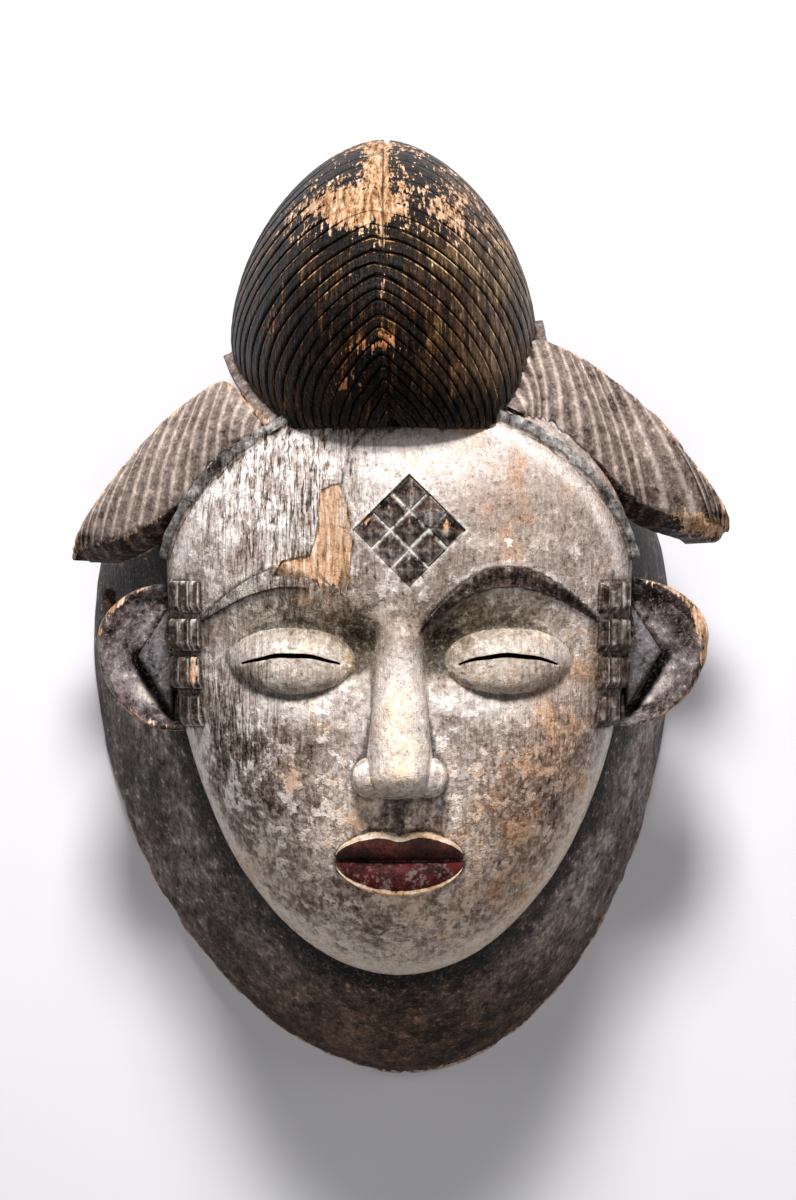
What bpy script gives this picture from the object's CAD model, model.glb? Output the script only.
"""The carved mask as it looks: the same shapes as the CAD solid on finer grids, worn and chipped, with clay
rubbed over its face and a dark crust on its hair. Lengths are millimetres until the mesh is made."""

import itertools
from types import SimpleNamespace

import bpy
import numpy as np
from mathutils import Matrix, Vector


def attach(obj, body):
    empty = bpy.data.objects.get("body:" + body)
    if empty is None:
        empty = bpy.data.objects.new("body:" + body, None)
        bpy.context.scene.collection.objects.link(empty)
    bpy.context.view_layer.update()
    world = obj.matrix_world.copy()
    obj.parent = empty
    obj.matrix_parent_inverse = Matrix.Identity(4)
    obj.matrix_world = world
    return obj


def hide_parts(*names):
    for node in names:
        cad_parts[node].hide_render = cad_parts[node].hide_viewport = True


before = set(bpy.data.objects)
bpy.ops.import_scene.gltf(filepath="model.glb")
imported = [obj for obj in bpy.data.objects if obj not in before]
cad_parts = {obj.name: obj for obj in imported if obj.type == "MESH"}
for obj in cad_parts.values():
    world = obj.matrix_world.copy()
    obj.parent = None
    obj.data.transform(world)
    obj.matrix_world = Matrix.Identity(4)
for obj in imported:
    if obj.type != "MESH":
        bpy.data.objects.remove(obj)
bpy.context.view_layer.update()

MM = 0.001
PI = np.pi

# The carving's dimensions, the same as the CAD solid's.
RIM = dict(x=-5.6, y=-8.5, side=94, up=86.7, down=141.8, power_up=2.5, power_down=1.9, lean=7.2)
RIM_EDGE, NECK_Z, NECK_INSET, COLLAR_BOW = 1.5, 60, 3.2, 1.35
FACE = dict(x=0, y=15, side=73, up=68, down=128)
FACE_EDGE_Z, FACE_RISE, FACE_ROUND = 62, 55, 2.2
HAIRLINE_Y = 59
CHIN_Y = FACE["y"] - FACE["down"]
THIRD = (HAIRLINE_Y - CHIN_Y) / 3
BROW_Y = HAIRLINE_Y - THIRD
NOSE_Y = BROW_Y - THIRD
EYE_Y = BROW_Y - 0.27 * THIRD
MOUTH_Y = NOSE_Y - THIRD / 3
EYE_X, EYE_HALF_WIDTH, EYE_HALF_HEIGHT, LID, SOCKET = 33, 20, 10.5, 8, 7.5
SLIT_HALF_LENGTH, SLIT_RISE, SLIT_WIDTH = 15, 2.6, 1.5
NOSE_TOP, NOSE_ROOT, NOSE_HALF, NOSE_ROOT_HEIGHT, NOSE_HEIGHT = BROW_Y + 1, 5.5, 10.5, 3, 19
NOSE_WING_X, NOSE_WING = 9, 5.6
LIP_HALF_WIDTH, UPPER_LIP, LOWER_LIP, LIP_PROUD, LIP_GAP = 19.5, 8.5, 9.5, 5.2, 0.9
BROW_INNER, BROW_OUTER, BROW_RISE, BROW_HALF, BROW_LIFT = 5, 61, 19, 3, 2.6
CAVITY = dict(side=83, up=75, down=127)
CAVITY_NECK = (58, 52, 112)
CAVITY_TOP = 98
TIE_HOLE_RADIUS, TIE_HOLE_Y, TIE_HOLE_Z = 5, 3.5, 17
CREST_X, CREST_SHIFT, CREST_BASE, CREST_TOP, CREST_WIDEST = -5.1, 3.6, 57, 150, 88
CREST_SIDE, CREST_POWER, CREST_BELOW = 48.3, 1.75, 47
PARTING_UP, PARTING_DOWN, PARTING_TOP, SHOULDER, BASE_SHOULDER = 62, 54, 132, 45, 80
LOCKS, LOCK_DEPTH, LOCK_REACH = 24, 1.3, np.radians(115)
BACK_TURN = 0.75 * PI
RIB_HALF, RIB_DEPTH = 2.4, 40
LEFT_RIB = [[-53.5, 82.5, 56], [-50, 74.5, 71], [-44.5, 66, 85], [-38, 56.5, 97]]
RIGHT_RIB = [[43, 93, 50], [44, 84, 62], [41.5, 74, 77], [36, 62.5, 94]]
LEFT_TRESS = [
    [[-39.5, 57.5, 94], [-40, 54.5, 94]],
    [[-46.5, 65, 86], [-49.5, 50.5, 89]],
    [[-54.5, 72.8, 76], [-60, 41.8, 83]],
    [[-62.6, 69.2, 71], [-72, 32.5, 75]],
    [[-72.4, 62, 66], [-84, 25.3, 67]],
    [[-82, 52.8, 61], [-93.8, 22.2, 60]],
    [[-92.7, 39.8, 55], [-99.6, 21, 54]],
    [[-100.8, 27.4, 50], [-102, 20.4, 50]],
    [[-104, 19, 47], [-103.7, 17.5, 47]],
]
RIGHT_TRESS = [
    [[33.5, 63.5, 93], [35.5, 60, 93]],
    [[38, 75, 82], [41, 59, 90]],
    [[42.5, 86, 68], [46, 57.6, 87]],
    [[51.2, 83.3, 68], [57.6, 51.3, 82]],
    [[56.7, 80.7, 67], [70.7, 38.7, 75]],
    [[66.6, 74, 65], [79.2, 33.2, 69]],
    [[80, 63.5, 62], [97.8, 28.8, 58]],
    [[91.1, 50.4, 57], [100.9, 28.2, 53]],
    [[99.8, 38.8, 51], [103.3, 26.8, 49]],
    [[104, 29.6, 47], [104, 26.4, 47]],
]
TRESS_THICKNESS, TRESS_CROWN, TRESS_SKIRT, FLUTES, FLUTE_DEPTH = 13, 3.5, 4.5, 18, 1.2
EAR_X, EAR_Y, EAR_HALF, EAR_OUT, EAR_WIDEST, EAR_Z = 66, -12.3, 23.3, 30, 0.2, 66
EAR_THICKNESS, EAR_DISH, EAR_DISH_FROM, EAR_DISH_TO, GOUGE_HALF = 14, 6, 0.5, 0.93, 0.075
PLATE_X, PLATE_OUT, PLATE_HALF, PLATE_LIFT = 71, 11, 17, 0.4
BLOCK_X, BLOCK_STEP, BLOCK_TOP, BLOCK_LENGTH, BLOCK_PITCH, BLOCK_PROUD = 62.5, 3.35, 10.5, 9.8, 11.7, 1.8
LOZENGE_X, LOZENGE_Y, LOZENGE_REACH, LOZENGE_RECESS, LOZENGE_SCALE = 2.9, 25.7, 17.2, 1.5, 3
BAND_Y, BAND_SIDE, BAND_UP, BAND_HALF, BAND_HEIGHT = 6, 73, 59, 3.4, 2.4
FLAKE_DEPTH = 1.4
FLAKE = [
    [-24, 38], [-18, 40], [-16, 33], [-14.5, 22], [-16, 6], [-20, 10], [-22, 3.5], [-25, 11],
    [-38, 12], [-36, 16.5], [-27, 18], [-24.5, 26],
]

# The notch at the crest's tip, which the CAD solid doesn't have, and other values of this script alone.
NOTCH_X, NOTCH_ENDS, NOTCH_SIZE, NOTCH_LEAN, NOTCH_PAST = CREST_X + 1.2, (20, 96), 4, 0.1, 3.2
TRIANGLE = [[1, 0], [-0.5, 0.866], [-0.5, -0.866]]
OUTSIDE = 140  # further out than any point of the mask
SHARP_ANGLE = np.radians(58)

# The parts of the carving that differ in colour.
WALL, SKIN, CREST, TRESS, EAR, DARK, LIPS, NOSE, LIDS, HOLLOW, FLAKED, BAND = range(1, 13)
PARTS = "wall front crest tress ear dark lips nose lids hollow flaked band"


def lerp(a, b, t):
    return a + (b - a) * t


def smoothstep(x, low, high):
    t = np.clip((x - low) / (high - low), 0, 1)
    return t * t * (3 - 2 * t)


def bell(x, y, centre_x, centre_y, spread_x, spread_y):
    return np.exp(-(((x - centre_x) / spread_x) ** 2) - ((y - centre_y) / spread_y) ** 2)


def hump(value, centre, spread):
    return np.exp(-(((value - centre) / spread) ** 2))


def turns(count):
    """The angles of a ring's points."""
    return np.arange(count) * 2 * PI / count


def on_disc(u, v):
    """A square's points drawn in to a disc."""
    return u * np.sqrt(1 - v * v / 2), v * np.sqrt(1 - u * u / 2)


def stack(x, y, z):
    return np.stack(np.broadcast_arrays(x, y, z), -1).astype(float)


def noise(points, size, seed=0):
    """Smooth noise from -1 to 1 with lumps of about that size, which may differ along each axis."""
    q = points / np.array(size, float) + seed * 19.37 + 500
    cell = np.floor(q).astype(np.int64)
    f = q - cell
    f = f * f * (3 - 2 * f)
    total = np.zeros(len(points))
    for corner in np.ndindex(2, 2, 2):
        c = cell + corner
        n = (c[:, 0] * 374761393 + c[:, 1] * 668265263 + c[:, 2] * 1274126177) & 0xFFFFFFFF
        n = ((n ^ (n >> 13)) * 1274126177) & 0xFFFFFFFF
        weight = np.prod(np.where(corner, f, 1 - f), axis=1)
        total += weight * ((n ^ (n >> 16)) / 0xFFFFFFFF)
    return 2 * total - 1


# Closed meshes, each as its points and its faces.


def slab(across, along, skin, top=False, bottom=True):
    """A closed mesh between skin(u, v, top) and skin(u, v, bottom), where u and v run from -1 to 1."""
    u, v = np.meshgrid(np.linspace(-1, 1, across + 1), np.linspace(-1, 1, along + 1), indexing="ij")
    u, v = u.ravel(), v.ravel()
    index = np.arange(u.size).reshape(across + 1, along + 1)
    upper = np.stack([index[:-1, :-1], index[1:, :-1], index[1:, 1:], index[:-1, 1:]], -1).reshape(-1, 4)
    edge = np.concatenate([index[:, 0], index[-1, 1:], index[-2::-1, -1], index[0, -2:0:-1]])
    after = np.roll(edge, -1)
    walls = np.stack([edge + u.size, after + u.size, after, edge], -1)
    faces = np.vstack([upper, upper[:, ::-1] + u.size, walls])
    return np.vstack([skin(u, v, top), skin(u, v, bottom)]), faces.tolist()


def loft(rings):
    """A closed mesh through a stack of closed rings, with a fan at each end."""
    rings = np.array(rings)
    rows, count, _ = rings.shape
    index = np.arange(rows * count).reshape(rows, count)
    after = np.roll(index, -1, axis=1)
    faces = np.stack([index[:-1], after[:-1], after[1:], index[1:]], -1).reshape(-1, 4).tolist()
    for end, (ring, following) in enumerate([(after[0], index[0]), (index[-1], after[-1])]):
        faces += np.stack([np.full(count, rows * count + end), ring, following], -1).tolist()
    points = np.vstack([rings.reshape(-1, 3), rings[0].mean(0), rings[-1].mean(0)])
    return points, faces


def spline(places, t):
    """A centripetal Catmull-Rom curve through places, at shares t of its length from place to place."""
    p = np.array(places, float)
    p = np.vstack([2 * p[0] - p[1], p, 2 * p[-1] - p[-2]])
    t = np.clip(np.asarray(t, float), 0, 1) * (len(places) - 1)
    i = np.minimum(t.astype(int), len(places) - 2)
    w = (t - i)[..., None]
    a, b, c, d = p[i], p[i + 1], p[i + 2], p[i + 3]

    def gap(m, n):
        return np.linalg.norm(n - m, axis=-1, keepdims=True) ** 0.5

    ab, bc, cd = gap(a, b), gap(b, c), gap(c, d)
    start = ((b - a) / ab - (c - a) / (ab + bc) + (c - b) / bc) * bc
    end = ((c - b) / bc - (d - b) / (bc + cd) + (d - c) / cd) * bc
    return b + w * start + w * w * (-3 * b + 3 * c - 2 * start - end) + w**3 * (2 * b - 2 * c + start + end)


# The forms of the carving.


def egg_ring(egg, z, count, scale=1.0):
    angle = turns(count)
    sine, cosine = np.sin(angle), np.cos(angle)
    power = 2 / np.where(sine > 0, egg["power_up"], egg["power_down"])
    share = np.abs(sine) ** power
    lean = np.where(sine > 0, 0, egg["lean"] * share * share)
    x = egg["x"] + scale * egg["side"] * np.sign(cosine) * np.abs(cosine) ** power + lean
    y = egg["y"] + scale * np.where(sine > 0, egg["up"], egg["down"]) * np.sign(sine) * share
    return stack(x, y, z)


def egg_between(first, second, share):
    return {name: lerp(first[name], second[name], share) for name in first}


def face_egg(side, up, down):
    return dict(x=FACE["x"], y=FACE["y"], side=side, up=up, down=down, power_up=2, power_down=2, lean=0)


def face_radius(x, y):
    reach = np.where(y > FACE["y"], FACE["up"], FACE["down"])
    return np.hypot((x - FACE["x"]) / FACE["side"], (y - FACE["y"]) / reach)


def face_height(x, y):
    radius = np.minimum(face_radius(x, y), 1)
    side = np.abs(x)
    shape = (
        2 * bell(x, y, 0, BROW_Y + 30, 38, 22)
        + 2.5 * bell(side, y, 38, NOSE_Y + 6, 18, 20)
        + 5 * bell(x, y, 0, MOUTH_Y, 24, 17)
        + 4 * bell(x, y, 0, CHIN_Y + 17, 17, 11)
        - 4.5 * bell(side, y, 13, EYE_Y + 3, 7, 11)
        - SOCKET * bell(side, y, EYE_X - 3, EYE_Y + 4, 22, 13)
    )
    fade = 1 - smoothstep(radius, 0.84, 0.99)
    return FACE_EDGE_Z + FACE_RISE * np.sqrt(1 - radius**FACE_ROUND) + fade * shape


def head_wall():
    neck = face_egg(FACE["side"] - NECK_INSET, FACE["up"] - 1, FACE["down"] - NECK_INSET)
    heights = [0, 0.5, RIM_EDGE, 2.5, *np.linspace(4.5, NECK_Z, 26)]
    rings = []
    for z in heights:
        rounded = 1 - np.sqrt(1 - max(0, 1 - z / RIM_EDGE) ** 2)
        edge = 1 - RIM_EDGE / RIM["side"] * rounded
        rings.append(egg_ring(egg_between(RIM, neck, (z / NECK_Z) ** COLLAR_BOW), z, 300, edge))
    return loft(rings)


def face_block():
    def place(u, v, height):
        x, y = on_disc(u, v)
        spread = 1.25 - 0.25 * (x * x + y * y)
        px = FACE["x"] + FACE["side"] * x * spread
        py = FACE["y"] + np.where(y > 0, FACE["up"], FACE["down"]) * y * spread
        return stack(px, py, height(px, py))

    def front(x, y):
        # A soft step where the forehead's left half has worn lower, and the hollow above the upper lip.
        worn = 0.9 * smoothstep(-12 - x, -1, 1.5) * smoothstep(y, 12, 20) * smoothstep(58 - y, 0, 16)
        philtrum = 1.1 * bell(x, y, 0, NOSE_Y - 5, 2.6, 6)
        return face_height(x, y) - worn * smoothstep(x, -60, -35) - philtrum

    return slab(150, 176, place, front, lambda x, y: NECK_Z - 12)


def nose():
    length = NOSE_TOP - NOSE_Y

    def skin(u, v, under):
        down = np.sin((1 - v) / 2 * PI / 2)
        y = NOSE_TOP - length * down
        half = lerp(NOSE_ROOT, NOSE_HALF, down * down) + 1.5
        tip = np.sqrt(1 - np.clip((down - 0.84) / 0.16, 0, 1) ** 2)
        root = smoothstep(down, 0.0, 0.16)
        height = (lerp(NOSE_ROOT_HEIGHT, NOSE_HEIGHT, down**1.25) * root + 1.5) * tip
        x = half * np.sin(u * PI / 2) * (0.35 + 0.65 * tip)
        profile = np.maximum(np.cos(u * PI / 2), 0) ** 0.8
        return stack(x, y, face_height(x, y) + (-5 if under else height * profile - 1.5))

    return slab(40, 64, skin)


def nostril(side):
    turn = turns(40)
    rings = []
    for row in np.linspace(-PI / 2, PI / 2, 25)[1:-1]:
        rings.append(stack(np.cos(turn) * np.cos(row), np.sin(turn) * np.cos(row), np.sin(row)))
    points, faces = loft(rings)
    x, y = NOSE_WING_X, NOSE_Y + 6.5
    return points * NOSE_WING * (1, 1.1, 1.25) + (side * x, y, face_height(x, y) + 2.5), faces


def slit_line(x, side):
    u = np.clip((x - side * EYE_X) / SLIT_HALF_LENGTH, -1, 1)
    return EYE_Y + SLIT_RISE * (1 - u * u) - 1


def lid(side):
    def skin(u, v, under):
        across, along = on_disc(u, v)
        x = side * EYE_X + EYE_HALF_WIDTH * across
        y = EYE_Y + EYE_HALF_HEIGHT * along
        r = np.minimum(np.hypot(across, along), 1)
        # The lid bulges inside an incised line, and its upper half overhangs the slit a little.
        bulge = (LID + 1.5) * np.sqrt(1 - r * r) - 1.5
        overhang = 0.5 * smoothstep(y - slit_line(x, side), -0.3, 0.5) * smoothstep(0.8 - r, 0, 0.4)
        return stack(x, y, face_height(x, y) + (-4 if under else bulge + overhang))

    return slab(64, 40, skin)


def eye_slit(side):
    def skin(u, v, z):
        x = side * EYE_X + SLIT_HALF_LENGTH * u
        y = slit_line(x, side) + SLIT_WIDTH / 2 * v * (1 - 0.6 * u * u)
        return stack(x, y + 0.12 * np.sin(9 * u + 2 * side), z)

    return slab(30, 1, skin, OUTSIDE, 60)


def lip_depth(u, up):
    """How far a lip reaches from the mouth's line; up is positive for the upper one."""
    taper = (1 - u * u) ** np.where(up > 0, 0.55, 0.62)
    bow = 1 - 0.24 * hump(u, 0, 0.2) * (up > 0)
    return 0.7 + np.where(up > 0, UPPER_LIP, LOWER_LIP) * taper * bow


def lip(up):
    def skin(u, v, lift):
        share = (1 + up * v) / 2
        x = LIP_HALF_WIDTH * u
        y = MOUTH_Y + up * (LIP_GAP / 2 + share * lip_depth(u, up))
        swell = np.sin(PI * (0.18 + 0.64 * share)) * np.sqrt(np.maximum(0.1, 1 - u * u))
        border = 0.5 * smoothstep(share, 0.84, 0.95) * (lift > 0)
        return stack(x, y, face_height(x, MOUTH_Y) + lift * (0.25 + 0.75 * swell) + border)

    return slab(72, 18, skin, LIP_PROUD, -4)


def brow(side, start):
    def skin(u, v, lift):
        along = lerp(start, 1, (1 + side * u) / 2)
        x = side * lerp(BROW_INNER, BROW_OUTER, along)
        arc = BROW_Y - 9 + BROW_RISE * np.sin(PI * along**0.85 * 0.9)
        y = arc + (0.6 + (BROW_HALF - 0.6) * np.sin(PI * along)) * v
        return stack(x, y, face_height(x, arc) + lift * (0.675 + 0.325 * v))

    return slab(60, 6, skin, BROW_LIFT, -3)


def cavity():
    rim = {**RIM, **CAVITY}
    neck = face_egg(*CAVITY_NECK)
    rings = []
    for z in [-2, 0, *np.linspace(3, 75, 22), *np.linspace(78, CAVITY_TOP - 0.6, 12)]:
        shrink = (1 - (max(z, 0) / CAVITY_TOP) ** 6) ** (1 / 3)
        rings.append(egg_ring(egg_between(rim, neck, min(max(z / NECK_Z, 0), 1)), z, 110, shrink))
    return loft(rings)


def crest_point(y, turn, side, sink):
    rising = y > CREST_WIDEST
    reach = np.where(rising, CREST_TOP - CREST_WIDEST, CREST_BELOW)
    share = np.minimum(1, np.abs(y - CREST_WIDEST) / reach)
    power = np.where(rising, CREST_POWER, 2)
    half = np.maximum(0.4, CREST_SIDE * (1 - share**power) ** (1 / power))
    low = np.clip((CREST_WIDEST - y) / (CREST_WIDEST - CREST_BASE), 0, 1)
    shoulder = lerp(SHOULDER, BASE_SHOULDER, low * low)
    fall = np.minimum(1, np.abs(y - CREST_WIDEST) / np.where(rising, PARTING_UP, PARTING_DOWN))
    rise = np.maximum(lerp(SHOULDER, PARTING_TOP, np.sqrt(1 - fall * fall)) - shoulder, 1)
    x = CREST_X + CREST_SHIFT * low * low
    sine, cosine = np.sin(turn), np.cos(turn)
    length = np.hypot(sine * rise, cosine * half)
    over = turn <= PI / 2
    down = np.clip((turn - PI / 2) / (BACK_TURN - PI / 2), 0, 1)
    px = np.where(over, half * sine - sink * sine * rise / length, half - 2 * down * down - sink)
    pz = np.where(over, shoulder + rise * cosine - sink * cosine * half / length, shoulder * (1 - down))
    return stack(x + side * px, y, pz)


def crest():
    """The combed crest: rows of points follow the locks, close together at each V-shaped cut."""
    columns = 40
    rows = np.array([0.02, 0.21, 0.37, 0.44, 0.5, 0.56, 0.64, 0.82])
    column = np.arange(-columns, columns + 1)
    s, side = np.abs(column) / columns, np.sign(column)

    def arch(share):
        y = CREST_BASE + (CREST_TOP - CREST_BASE) * share * (1 - s ** (1 + 2.4 * share**2.5))
        return y, LOCK_REACH * share * s

    rings = []
    # The left half's locks meet the parting a little higher than the right half's.
    shift = 0.3 * (side < 0) * smoothstep(np.abs(column), 0, 2.5)
    phases = [*(np.arange(LOCKS)[:, None] + rows).ravel(), LOCKS]
    for phase in phases:
        here = stack(column * 1.0, phase * 16.0, 0)
        jitter = 0.16 * noise(here, (8, 9, 9), 3) + shift
        share = 0.999 * np.clip((phase + jitter * np.clip(LOCKS - phase, 0, 1)) / LOCKS, 0.0004, 1)
        y, turn = arch(share)
        cut = np.clip(1 - np.abs(phase % 1 - 0.5) / 0.13, 0, 1)
        depth = LOCK_DEPTH * (0.56 + 0.3 * noise(here, (5, 14, 9), 5))
        ragged = 5 * noise(here, (4, 30, 9), 7)
        worn = smoothstep(y + ragged, 108, 130) * np.clip(np.cos(turn * 1.15), 0, 1)
        parting = 1.3 * hump(CREST_SIDE * np.sin(turn), 0, 1.2)
        fades = smoothstep(s * 48, 0.2, 1.6)
        sink = depth * cut * (1 - 0.85 * worn) * fades + 0.3 * (0.5 - phase % 1) * (1 - worn)
        rings.append(crest_point(y, turn, side, sink))
        rings[-1][:, 2] -= parting
    y, turn = arch(0.999)
    for t in np.linspace(0, 1, 13)[1:]:
        rings.append(crest_point(y, lerp(turn, BACK_TURN, t), side, 0 * y))
        phases.append(LOCKS)
    return *loft(rings), np.append(np.repeat(phases, len(column)), [0, LOCKS])


def rib(path):
    inner = -np.sign(path[0][0])

    def skin(u, v, drop):
        along = (1 + u) / 2
        p = spline(path, along)
        tangent = spline(path, along + 0.01) - spline(path, along - 0.01)
        side = np.stack([-tangent[:, 1], tangent[:, 0]], -1)
        side /= np.linalg.norm(side, axis=1, keepdims=True)
        half = RIB_HALF * np.where(inner * v > 0, 2.5, 1)
        p[:, :2] += side * (half * v)[:, None]
        p[:, 2] += 1.5 * (1 - v * v) - drop
        return p

    points, faces = slab(40, 12, skin, 0, RIB_DEPTH)
    return points, faces, np.full(len(points), 0.5)


def tress(places):
    places = np.array(places, float)
    side = np.sign(places[-1][0][0])
    steps = FLUTES + 1

    def skin(u, v, under):
        here = stack((1 + u) * 150, (1 + v) * 20, side)
        phase = (1 + u) / 2 * steps
        wander = 0.12 / steps * noise(here, (14, 20, 9), 11) * np.sin((1 + u) * PI / 2)
        along = np.clip((1 + u) / 2 + wander, 0, 1)
        outer, inner = spline(places[:, 0], along), spline(places[:, 1], along)
        grows = np.minimum(1, np.linalg.norm(outer - inner, axis=1) / 14)
        across = np.clip((side * v + 1 / 3) / (4 / 3), 0, 1)
        p = lerp(inner, outer, across[:, None])
        bowed = side * 1.6 * np.sin(PI * across) * grows
        p[:, 0] += bowed
        p[:, 2] += TRESS_CROWN * np.sin(PI * across) * grows
        below = np.clip((-1 / 3 - side * v) / (2 / 3), 0, 1)
        p[:, 0] -= side * TRESS_SKIRT * 0.5 * grows * below
        p[:, 1] -= TRESS_SKIRT * grows * below
        p[:, 2] -= 7 * grows * below
        if under:
            p[:, 0] *= 1 - 0.1 * smoothstep(np.abs(p[:, 0]), 60, 104)
            p[:, 2] -= TRESS_THICKNESS
            return p
        valley = 1 - np.abs(2 * (phase % 1) - 1)
        depth = FLUTE_DEPTH * (0.95 + 0.25 * noise(here, (9, 20, 9), 12))
        fades = (1 - smoothstep(below, 0, 0.25)) * smoothstep(grows, 0.1, 0.5)
        p[:, 2] -= depth * smoothstep(valley, 0.15, 0.85) * fades
        return p

    points, faces = slab(steps * 9, 27, skin)
    return points, faces, np.tile(np.repeat(np.linspace(0, steps, steps * 9 + 1), 28), 2)


def ear_bulge(v):
    """How far out the half-moon reaches, from 0 at its ends to 1 at its widest."""
    below = (EAR_WIDEST - v) / (EAR_WIDEST + 1)
    above = (v - EAR_WIDEST) / (1 - EAR_WIDEST)
    return np.sqrt(np.maximum(0, 1 - np.maximum(below, above) ** 2))


def past_gouge(share, v):
    """How far past the gouge's middle a place is, as a share of the ear's reach."""
    return share - 0.56 - 0.3 * np.minimum(v + 0.1, 0)


def ear(side):
    """A half-moon whose face is a dish behind the plate and rises to the outer edge."""

    def skin(u, v, under):
        v = np.sin(v * PI / 2)
        share = (1 + side * u) / 2
        reach = np.maximum(0.5, 4 + (EAR_OUT + side - 4) * ear_bulge(v))
        y = EAR_Y + 0.7 * side + EAR_HALF * v
        if under:
            return stack(side * (EAR_X + reach * share), y, EAR_Z - EAR_THICKNESS + 2 * share)
        ends = 1 - smoothstep(np.abs(v), 0.72, 0.95)
        depth = EAR_DISH * (1 - 0.55 * smoothstep(v, -0.2, 0.6)) * ends
        dish = depth * (1 - smoothstep(share, EAR_DISH_FROM, EAR_DISH_TO))
        # A gouge runs under the plate's lower edge, and the outer edge is rounded over.
        along = smoothstep(0.15 - v, 0, 0.3)
        gouge = 3.2 * hump(past_gouge(share, v), 0, GOUGE_HALF) * along
        round_over = 2.6 * np.clip((share - 0.88) / 0.12, 0, 1) ** 2.2
        return stack(side * (EAR_X + reach * share), y, EAR_Z - share - dish - gouge * ends - round_over)

    return slab(48, 64, skin)


def split_sides(corners):
    """A closed outline with seven more points along each of its sides."""
    corners = np.array(corners, float)
    sides = zip(corners, np.roll(corners, -1, axis=0))
    return np.array([lerp(a, b, t) for a, b in sides for t in np.linspace(0, 1, 9)[:-1]])


def ear_plate(side):
    """A three-sided prism whose tip points outwards, sloping away from the temple."""
    corners = np.array(TRIANGLE) * (PLATE_OUT / 1.5, PLATE_HALF / 0.866)
    outline = split_sides(corners[::side])
    rings = []
    for z, grow in ((-6, 1.1), (2, 1.03), (5, 1.0), (6, 0.9)):
        ring = outline * grow
        x = side * (PLATE_X + PLATE_OUT / 3 + ring[:, 0])
        ring_z = EAR_Z + PLATE_LIFT - 6 + z - 0.12 * ring[:, 0]
        rings.append(stack(x, EAR_Y + 0.7 * side + ring[:, 1], ring_z))
    return loft(rings)


def temple_block(side, column, row):
    x = BLOCK_X + BLOCK_STEP * column
    y = BLOCK_TOP - BLOCK_LENGTH / 2 - BLOCK_PITCH * row
    ends = face_height(np.array([x - 0.5, x, x + 0.5]), np.full(3, y))
    slope = ends[2] - ends[0]
    width = BLOCK_STEP * np.hypot(1, slope) - 1
    tilt = np.arctan(slope)

    def skin(u, v, under):
        # Each block is a lopsided ridge, and its lower end slopes down into the notch below it.
        u = side * u
        ridge = np.where(u > 0.25, (u - 0.25) / 0.75, (0.25 - u) / 1.25)
        ends_low = 1.5 * np.clip(-v - 0.62, 0, 1) / 0.38 + 0.8 * np.clip(v - 0.86, 0, 1) / 0.14
        c = BLOCK_PROUD + 0.5 - 1.3 * ridge - ends_low
        if under:
            c = -BLOCK_PROUD - 8 + 0 * u
        a, b = u * width / 2, v * BLOCK_LENGTH / 2
        px = x + a * np.cos(tilt) - c * np.sin(tilt)
        return stack(side * px, y + b, ends[1] + a * np.sin(tilt) + c * np.cos(tilt))

    return slab(8, 14, skin)


def lozenge_point(u, v):
    x = LOZENGE_X + LOZENGE_REACH * (u - v) / 2
    y = LOZENGE_Y + LOZENGE_REACH * (u + v) / 2
    return stack(x, y, face_height(x, y) - LOZENGE_RECESS)


def lozenge_recess():
    def skin(u, v, under):
        x, y, floor = lozenge_point(u, v).T
        return stack(x, y, floor if under else OUTSIDE)

    return slab(48, 48, skin)


def lozenge_scale(column, row, rng):
    """One of the nine pyramids on the lozenge's floor, a little out of true and blunt at its point."""
    lean = rng.normal(0, 0.07, 2)
    half = 0.485 * (0.92 + 0.05 * rng.normal())

    def skin(a, b, under):
        p = lozenge_point((column + half * a) * 2 / 3, (row + half * b) * 2 / 3)
        edge = np.maximum(np.abs(a - lean[0]), np.abs(b - lean[1]))
        p[:, 2] += -1 if under else LOZENGE_SCALE * np.minimum(1 - edge, 0.86) + 0.25
        return p

    return slab(14, 14, skin)


def hair_band():
    angle = np.linspace(0.06 * PI, 0.94 * PI, 161)
    x, y = BAND_SIDE * np.cos(angle), BAND_Y + BAND_UP * np.sin(angle)
    centre = stack(x, y, face_height(x, y) - 0.6)
    out = stack(np.cos(angle) / BAND_SIDE, np.sin(angle) / BAND_UP, 0)
    out /= np.linalg.norm(out, axis=1, keepdims=True)
    turn = turns(20)
    flat = np.sign(np.sin(turn)) * np.abs(np.sin(turn)) ** 0.4
    rings = [
        c + np.cos(turn)[:, None] * -BAND_HALF * o + flat[:, None] * [0, 0, BAND_HEIGHT - 0.6]
        for c, o in zip(centre, out)
    ]
    return loft(rings)


def flake_cut():
    """The flake's jagged prism: its floor follows the face, splintered along the grain."""
    x, y = split_sides(FLAKE)[::-1].T
    x = x + 0.5 * noise(stack(x, y, 0), 3, 21)
    z = face_height(x, y)
    count = len(x)
    low = np.arange(count)
    walls = np.stack([low, np.roll(low, -1), np.roll(low, -1) + count, low + count], -1).tolist()
    points = np.vstack([stack(x, y, z - FLAKE_DEPTH), stack(x, y, z + 6)])
    return points, [*walls, low[::-1].tolist(), (low + count).tolist()]


def apex_notch():
    """A three-sided prism that leans over the crest's end, and cuts deeper the higher it is."""
    along, across = NOTCH_SIZE * np.array(TRIANGLE).T
    middle = CREST_TOP + NOTCH_PAST + NOTCH_SIZE
    return loft([stack(NOTCH_X + across, middle - NOTCH_LEAN * z - along, z) for z in NOTCH_ENDS])


def tie_hole():
    turn = turns(40)
    y, z = TIE_HOLE_Y + TIE_HOLE_RADIUS * np.cos(turn), TIE_HOLE_Z + TIE_HOLE_RADIUS * np.sin(turn)
    return loft([stack(x, y, z) for x in (-OUTSIDE, OUTSIDE)])


# Blender objects from the forms, joined and cut into one solid.


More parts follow.
